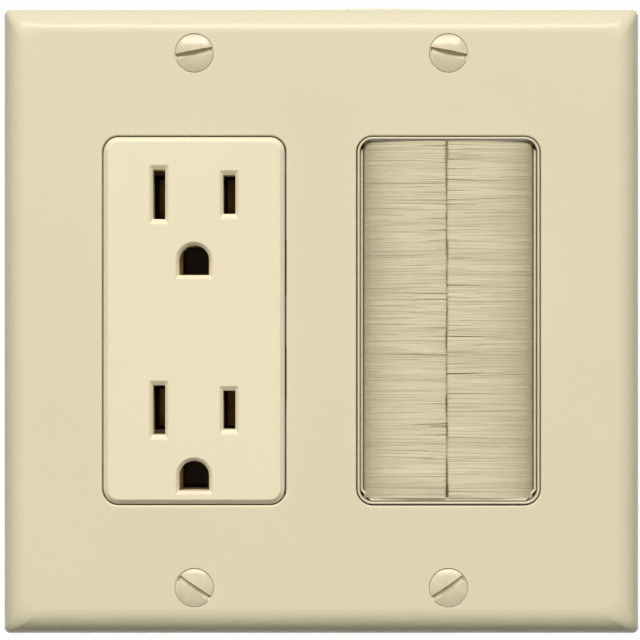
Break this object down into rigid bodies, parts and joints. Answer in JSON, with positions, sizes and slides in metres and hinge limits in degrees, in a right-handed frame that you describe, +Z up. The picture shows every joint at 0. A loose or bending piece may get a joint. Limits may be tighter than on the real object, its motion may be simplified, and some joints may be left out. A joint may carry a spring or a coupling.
{
  "type": "outlet wall plate",
  "caption": "Square ivory wall plate with rounded edges, holding a grounded outlet beside a brush cable opening, with slotted oval-head screws",
  "frame": {"origin": "middle of the plate, in the plane where its rim meets the wall", "axes": "+X to the right seen from the front, +Y into the wall, +Z up"},
  "size_m": [0.116, 0.0286, 0.1142],
  "materials": {
    "plate_plastic": "light ivory, satin gloss",
    "face_plastic": "lighter ivory, satin gloss",
    "insert_plastic": "light ivory, satin gloss",
    "screw_paint": "ivory enamel over steel",
    "zinc_steel": "zinc plated",
    "body_plastic": "moulded, matt",
    "brass": "stamped, lightly tarnished",
    "nickel": "nickel plated",
    "green_paint": "dyed green",
    "card": "pressed fibre card",
    "bristle": "nylon filament, fine, semi-matt"
  },
  "bodies": {
    "root": {"wall_plate": "plate_plastic", "plate_screw_upper_left": "screw_paint", "plate_screw_upper_right": "screw_paint", "plate_screw_lower_left": "screw_paint", "plate_screw_lower_right": "screw_paint", "box_screw_upper_left": "zinc_steel", "box_screw_upper_right": "zinc_steel", "box_screw_lower_left": "zinc_steel", "box_screw_lower_right": "zinc_steel", "retaining_washer_upper_left": "card", "retaining_washer_upper_right": "card", "retaining_washer_lower_left": "card", "retaining_washer_lower_right": "card", "receptacle_face": "face_plastic", "receptacle_strap": "zinc_steel", "receptacle_body": "body_plastic", "hot_contact": "brass", "neutral_contact": "brass", "ground_contact_upper": "brass", "ground_contact_lower": "brass", "hot_terminal_screw_upper": "brass", "hot_terminal_screw_lower": "brass", "neutral_terminal_screw_upper": "nickel", "neutral_terminal_screw_lower": "nickel", "ground_screw": "green_paint", "assembly_screws": "zinc_steel", "insert_frame": "insert_plastic", "brush_cassette": "insert_plastic", "brush_spine_left": "zinc_steel", "brush_spine_right": "zinc_steel", "core_wire_left": "zinc_steel", "core_wire_right": "zinc_steel", "bristles_left": "bristle", "bristles_right": "bristle"}
  },
  "joints": []
}
